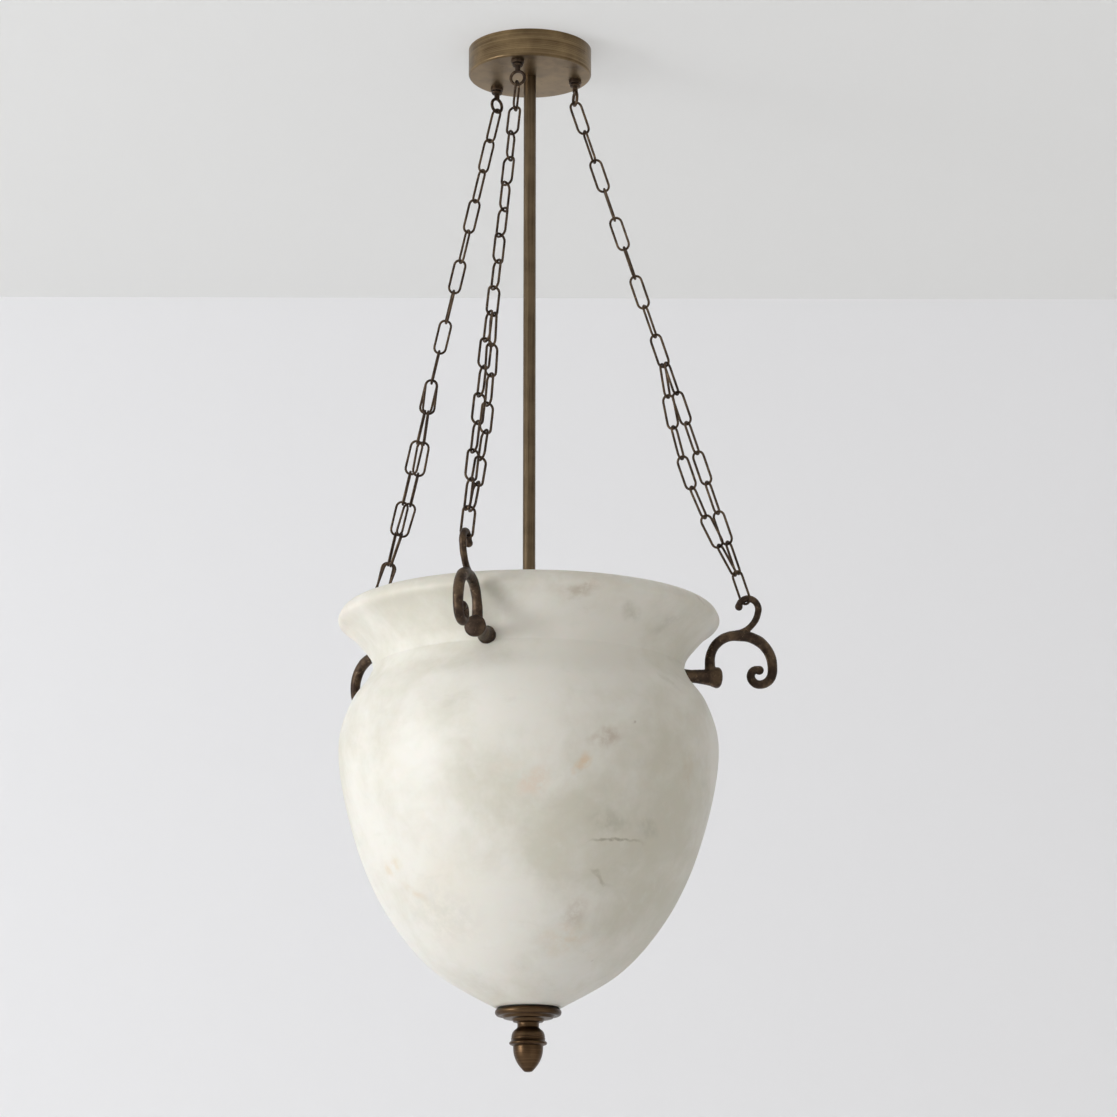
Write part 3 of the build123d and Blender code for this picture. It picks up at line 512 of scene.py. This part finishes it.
# places and headings along straight runs and arcs that bend to the right, from a start that points up
def course(start, moves, stepLength=2.0):
    place, heading = Vector((start[0], 0, start[1])), Vector((0, 0, 1))
    track = [(place.copy(), heading.copy())]
    for kind, size, turn in moves:
        if kind == "run":
            place = place + heading * size
        else:
            centre = place + Vector((heading.z, 0, -heading.x)) * size
            count = max(3, round(size * radians(turn) / stepLength))
            arm = place - centre
            for i in range(1, count):
                spot = Matrix.Rotation(radians(turn) * i / count, 3, "Y")
                track.append((centre + spot @ arm, spot @ heading))
            spot = Matrix.Rotation(radians(turn), 3, "Y")
            place, heading = centre + spot @ arm, spot @ heading
        track.append((place.copy(), heading.copy()))
    return track


def tapered(track, radii):
    lengths = [0.0]
    for (a, _), (b, _) in zip(track, track[1:]):
        lengths.append(lengths[-1] + (b - a).length)
    stations = []
    for (place, heading), length in zip(track, lengths):
        at = length / lengths[-1] * (len(radii) - 1)
        index = min(int(at), len(radii) - 2)
        stations.append((place, heading, radii[index] + (radii[index + 1] - radii[index]) * (at - index)))
    return stations


def hookCourse():
    eyeR, eyeZ = hookShape["eye"]
    big, small = hookShape["rootRadius"], hookShape["hookRadius"]
    rootR = eyeR - (big - small) * cos(radians(-8))
    rootZ = eyeZ - (big - small) * sin(radians(-8))
    track = []
    for i in range(19):
        angle = radians(-80 + 72 * i / 18)
        place = Vector((rootR + big * cos(angle), 0, rootZ + big * sin(angle)))
        track.append((place, Vector((-sin(angle), 0, cos(angle)))))
    for i in range(1, 19):
        angle = radians(-8 + 180 * i / 18)
        place = Vector((eyeR + small * cos(angle), 0, eyeZ + small * sin(angle)))
        track.append((place, Vector((-sin(angle), 0, cos(angle)))))
    return track


def spoolFoot():
    start = hookShape["seat"]
    profile = [(0, start), (8.3, start), (8.5, start + 0.5), (8.5, start + 1.8), (8.0, start + 2.4),
               (6.9, start + 4.6), (6.35, start + 8), (6.3, start + 12), (6.6, start + 19), (7.2, start + 26),
               (8.4, start + 33), (9.9, start + 37.6), (10.2, start + 39.2), (9.9, start + 40.6),
               (8.6, start + 41.9), (6.0, start + 42.9), (3.0, start + 43.4), (0, start + 43.5)]
    mesh = spinOutline(profile, False, 48)
    bmesh.ops.rotate(mesh, verts=mesh.verts, cent=(0, 0, 0), matrix=Matrix.Rotation(pi / 2, 3, "Y"))
    return moveShape(mesh, 0, 0, hookShape["foot"])


def castHook():
    start = (hookShape["armAxis"], hookShape["foot"])
    limb = course(start, [("run", hookShape["armRise"], 0)] + hookShape["limbCourse"])
    thin = hookCourse()
    ball = bmesh.new()
    bmesh.ops.create_uvsphere(ball, u_segments=20, v_segments=12, radius=hookShape["ball"] * mm)
    tip = thin[-1][0]
    moveShape(ball, tip.x, tip.y, tip.z)
    eye = bmesh.new()
    bmesh.ops.create_uvsphere(eye, u_segments=20, v_segments=12, radius=hookShape["scrollEnd"] * mm)
    end = limb[-1][0]
    moveShape(eye, end.x, end.y, end.z)
    wire = hookShape["wire"]
    bars = [sweepBar(tapered(limb, hookShape["limbRadii"])),
            sweepBar(tapered(thin, [wire, wire - 0.2, wire, wire, wire]))]
    data = bpy.data.meshes.new("casting")
    whole = joined([spoolFoot(), *bars, ball, eye])
    whole.to_mesh(data)
    whole.free()
    casting = bpy.data.objects.new("casting", data)
    bpy.context.scene.collection.objects.link(casting)
    remesh = casting.modifiers.new("oneCasting", "REMESH")
    remesh.mode = "VOXEL"
    remesh.voxel_size = hookShape["voxel"] * mm
    ease = casting.modifiers.new("ease", "SMOOTH")
    ease.iterations = 5
    ease.factor = 0.5
    shaped = bpy.data.meshes.new_from_object(casting.evaluated_get(bpy.context.evaluated_depsgraph_get()))
    bpy.data.objects.remove(casting)
    for point in shaped.vertices:
        lump = sum(noise.noise(point.co * fine) * high for fine, high in hookShape["lumps"])
        point.co += point.normal * lump * mm
    return shaped


def scrollHooks():
    shaped = castHook()
    for number in (1, 2, 3):
        mesh = bmesh.new()
        mesh.from_mesh(shaped)
        turnShape(mesh, 120 * (number - 1))
        makePiece(f"scrollHook{number}", mesh, "bronze", "fitting",
                  [f"scroll_hook_{number}"], 60)
    bpy.data.meshes.remove(shaped)


scrollHooks()
print("scroll hooks made")


chainShape = {
    "start": (46.0, -51.75), "singles": 9, "strand": 7, "wire": 2.4, "width": 13.7, "play": 0.12, "gap": 2.1,
    "sag": 13.0, "turn": 45.0, "endTurn": 12.0, "hookInside": 6.25, "bendSteps": 9, "wireSides": 10,
}


def acrossLink(along, turn):
    level = Vector((0, 1, 0))
    inward = level.cross(along)
    return inward * cos(radians(turn)) + level * sin(radians(turn))


def linkTurn(number):
    drift = chainShape["turn"] * min((number - 1) / (chainShape["singles"] - 1), 1)
    last = chainShape["singles"] + chainShape["strand"] + 1
    return 90 * (number - 1) + drift + (chainShape["endTurn"] if number == last else 0)


# one link about its own middle, its length on Z and its width on X
def ovalLink(length):
    wire = chainShape["wire"] / 2 * mm
    bend = (chainShape["width"] - chainShape["wire"]) / 2 * mm
    straight = (length / 2 + chainShape["play"] / 2 + chainShape["wire"] / 2) * mm - bend
    mesh = bmesh.new()
    ring = bmesh.ops.create_circle(mesh, radius=wire, segments=chainShape["wireSides"])["verts"]
    bmesh.ops.translate(mesh, verts=ring, vec=(bend, 0, straight))
    loop = mesh.edges[:]
    for side in (1, -1):
        spun = bmesh.ops.spin(mesh, geom=list(loop), cent=(0, 0, straight * side), axis=(0, -1, 0), angle=pi,
                              steps=chainShape["bendSteps"])
        loop = [item for item in spun["geom_last"] if isinstance(item, bmesh.types.BMEdge)]
        drawn = bmesh.ops.extrude_edge_only(mesh, edges=loop)
        points = [item for item in drawn["geom"] if isinstance(item, bmesh.types.BMVert)]
        loop = [item for item in drawn["geom"] if isinstance(item, bmesh.types.BMEdge)
                and all(v in points for v in item.verts)]
        bmesh.ops.translate(mesh, verts=points, vec=(0, 0, -2 * straight * side))
    bmesh.ops.remove_doubles(mesh, verts=mesh.verts, dist=1e-5)
    bmesh.ops.recalc_face_normals(mesh, faces=mesh.faces)
    return mesh


def placedLink(start, end, turn):
    along = (end - start).normalized()
    across = acrossLink(along, turn)
    across = (across - along * across.dot(along)).normalized()
    frameTurn = Matrix((across, along.cross(across), along)).transposed().to_4x4()
    mesh = ovalLink((end - start).length)
    bmesh.ops.transform(mesh, matrix=Matrix.Translation((start + end) / 2 * mm) @ frameTurn, verts=mesh.verts)
    return mesh


def chainRuns():
    start = Vector((chainShape["start"][0], 0, chainShape["start"][1]))
    end = Vector((hookShape["eye"][0], 0, hookShape["eye"][1]))
    along = (end - start).normalized()
    singles, strand = chainShape["singles"], chainShape["strand"]
    total = singles + strand + 1
    first = start - along * eyeletShape["wire"]
    last = end - along * chainShape["hookInside"]
    pitch = (last - first).length / total
    single = [first + along * pitch * i for i in range(singles + 1)]
    forkTop, forkLow = single[-1], first + along * pitch * (total - 1)
    spread = (chainShape["wire"] + chainShape["gap"]) / 2
    bore = (chainShape["width"] - chainShape["wire"]) / 2 - chainShape["wire"] - chainShape["play"]
    lift = bore - sqrt(bore * bore - spread * spread)
    topAcross, lowAcross = acrossLink(along, linkTurn(singles)), acrossLink(along, linkTurn(total))
    inward = acrossLink(along, 0)
    runs = {"single_links": (single, 1), "end_link": ([forkLow, last], total)}
    for name, side, sag in (("strand_a", 1, chainShape["sag"]), ("strand_b", -1, 0.0)):
        upper = forkTop - along * lift + topAcross * spread * side
        lower = forkLow + along * lift + lowAcross * spread * side
        shares = [i / strand for i in range(strand + 1)]
        runs[name] = ([upper + (lower - upper) * s + inward * sag * sin(pi * s) for s in shares], singles + 1)
    return runs


def chains():
    bodies = {"single_links": "chain_{}_singles", "strand_a": "chain_{}_strand_a",
              "strand_b": "chain_{}_strand_b", "end_link": "fitting"}
    for name, (joints, firstNumber) in chainRuns().items():
        title = name.title().replace("_", "")
        for number in (1, 2, 3):
            spans = enumerate(zip(joints, joints[1:]), firstNumber)
            links = [placedLink(upper, lower, linkTurn(place)) for place, (upper, lower) in spans]
            shape = turnShape(joined(links), 120 * (number - 1))
            makePiece(f"chain{number}{title}", shape, "bronze", bodies[name].format(number),
                      [f"chain_{number}_{name}"], 70)


chains()
print("chains made")


lampShape = {"circle": 62.0, "holderLow": -732.0, "holderTop": -702.0, "capLow": -723.0, "glassLow": -701.0,
             "crown": -647.0, "glassRadius": 22.5, "capRadius": 6.9, "hubLow": -762.0, "hubTop": -742.0}


def lampParts():
    base, mouth, seat = lampShape["holderLow"], lampShape["holderTop"], lampShape["capLow"]
    holder = [(5.05, base), (9.5, base), (11, base + 6), (11, base + 12), (12, base + 14), (12, mouth - 1.2),
              (10.8, mouth), (7.25, mouth), (7.25, seat), (5.05, seat)]
    crown, radius, low = lampShape["crown"], lampShape["glassRadius"], lampShape["glassLow"]
    capRadius, hubLow, hubTop = lampShape["capRadius"], lampShape["hubLow"], lampShape["hubTop"]
    middle = crown - radius
    glass = [(0, low), (capRadius, low)]
    glass += smoothLine([(capRadius, low), (9.0, low + 8), (15.8, low + 18), (radius, middle)], 8)[1:]
    glass += arcLine((0, middle), radius, 0, 90, 14)[1:]
    cap = [(0, seat + 0.5), (3.2, seat + 0.5), (4.2, seat + 2.5), (capRadius, seat + 5), (capRadius, low),
           (0, low)]
    hub = [(6.25, hubLow), (17.2, hubLow), (18, hubLow + 0.8), (18, hubTop - 0.8), (17.2, hubTop),
           (6.25, hubTop)]
    makePiece("lampHub", spinOutline(hub, True, 64), "plainBrass", "fitting", ["lamp_hub"])
    for number in (1, 2, 3):
        turn = 60 + 120 * (number - 1)
        for title, outline, closed, look, slot, body, node in (
                ("lampHolder", holder, True, "holder", "holder_plastic", "fitting", "lampholder"),
                ("bulbGlass", glass, False, "bulb", "bulb_glass", "bulb_{}", "bulb_glass"),
                ("bulbCap", cap, False, "cap", "bulb_cap_metal", "bulb_{}", "bulb_cap")):
            shape = turnShape(moveShape(spinOutline(outline, closed, 48), lampShape["circle"], 0, 0), turn)
            makePiece(f"{title}{number}", shape, look, body.format(number), [f"{node}_{number}"])


lampParts()
print("lamps made")


room = {"wall": tone(241, 241, 243), "ceiling": tone(238, 238, 237), "wallAway": 0.808, "size": 9.0,
        "own": 0.4, "floor": -2.6}


# pale where a camera, a mirror finish or glass looks at it, plain otherwise; clear from behind
def roomMaterial(name, colour):
    mix = Mixer(bpy.data.materials.new(name))
    plain = mix.add("BsdfDiffuse", None, {"Color": colour})
    shown = mix.add("Emission", None, {"Color": colour, "Strength": 1.0})
    camera = mix.add("LightPath", out="Is Camera Ray")
    glossy = mix.add("LightPath", out="Is Glossy Ray")
    through = mix.add("LightPath", out="Is Transmission Ray")
    seen = mix.add("Math", {"operation": "MAXIMUM"}, {0: mix.add("Math", {"operation": "MAXIMUM"},
                                                                {0: camera, 1: glossy}), 1: through})
    front = mix.add("MixShader", None, {0: seen * room["own"], 1: plain, 2: shown})
    behind = mix.add("NewGeometry", out="Backfacing")
    clear = mix.add("BsdfTransparent")
    surface = mix.add("MixShader", None, {0: behind, 1: front, 2: clear})
    mix.add("OutputMaterial", None, {"Surface": surface})
    return mix.holder


def roomPlane(name, matrix, look):
    mesh = bmesh.new()
    bmesh.ops.create_grid(mesh, x_segments=1, y_segments=1, size=room["size"] / 2)
    bmesh.ops.transform(mesh, matrix=matrix, verts=mesh.verts)
    data = bpy.data.meshes.new(name)
    mesh.to_mesh(data)
    mesh.free()
    data.materials.append(look)
    plane = bpy.data.objects.new(name, data)
    bpy.context.scene.collection.objects.link(plane)


# where the photograph was taken from; the picture is 1117 pixels wide and the lens is given in pixels
cameraPlace = {"azimuth": -15.0, "away": 3.5, "height": -1.351, "tilt": 13.48, "pan": 0.458, "focal": 3790.0}
facing = Matrix.Rotation(radians(cameraPlace["azimuth"]), 4, "Z")
upright = Matrix.Rotation(pi / 2, 4, "X")
wallMiddle = Matrix.Translation((0, room["wallAway"], -room["size"] / 2))
roomPlane("ceilingPlane", Matrix.Translation((0, 0, 0.0002)) @ Matrix.Rotation(pi, 4, "X"),
          roomMaterial("ceilingPaint", room["ceiling"]))
roomPlane("wallPlane", facing @ wallMiddle @ upright, roomMaterial("wallPaint", room["wall"]))
roomPlane("floorPlane", Matrix.Translation((0, 0, room["floor"])), roomMaterial("floorPaint", room["wall"]))


def areaLight(name, place, aim, size, power, colour):
    lamp = bpy.data.lights.new(name, "AREA")
    lamp.size = size
    lamp.energy = power
    lamp.color = colour
    holder = bpy.data.objects.new(name, lamp)
    holder.location = facing @ Vector(place)
    holder.rotation_mode = "QUATERNION"
    holder.rotation_quaternion = (facing @ Vector(aim) - holder.location).to_track_quat("-Z", "Y")
    bpy.context.scene.collection.objects.link(holder)


areaLight("windowLight", (-2.6, -1.4, -0.9), (0, 0, -0.5), 1.0, 35, (0.96, 0.98, 1.0))
areaLight("roomLight", (1.8, -2.4, -1.6), (0, 0, -0.6), 2.2, 6, (1.0, 1.0, 1.0))

# the room beyond: bright towards the window on the left, dim to the right and in front
air = {"bright": 1.0, "dim": 0.47, "brightTint": (0.90, 0.91, 0.93, 1), "dimTint": (0.93, 0.885, 0.80, 1)}
world = bpy.data.worlds.new("roomAir")
sky = Mixer(world)
side = facing @ Vector((-0.9, 0.42, 0.12))
outwards = sky.add("TexCoord", out="Generated")
towards = sky.add("VectorMath", {"operation": "DOT_PRODUCT"}, {0: outwards, 1: side}, out="Value")
share = sky.step(towards, -0.5, 0.9)
level = share * (air["bright"] - air["dim"]) + air["dim"]
tint = sky.blend(share, air["dimTint"], air["brightTint"])
background = sky.add("Background", None, {"Color": tint, "Strength": level})
sky.add("OutputWorld", None, {"Surface": background})
bpy.context.scene.world = world
bpy.context.scene.view_settings.view_transform = "Standard"

lens = bpy.data.cameras.new("view")
lens.sensor_width = 36
lens.lens = 36 * cameraPlace["focal"] / 1117
lens.clip_start, lens.clip_end = 0.05, 50
eye = bpy.data.objects.new("view", lens)
eye.location = facing @ Vector((0, -cameraPlace["away"], cameraPlace["height"]))
tilt = Matrix.Rotation(radians(90 + cameraPlace["tilt"]), 4, "X")
pan = Matrix.Rotation(radians(-cameraPlace["pan"]), 4, "Z")
eye.rotation_euler = (facing @ pan @ tilt).to_euler()
bpy.context.scene.collection.objects.link(eye)
bpy.context.scene.camera = eye
print("room, light and camera set")
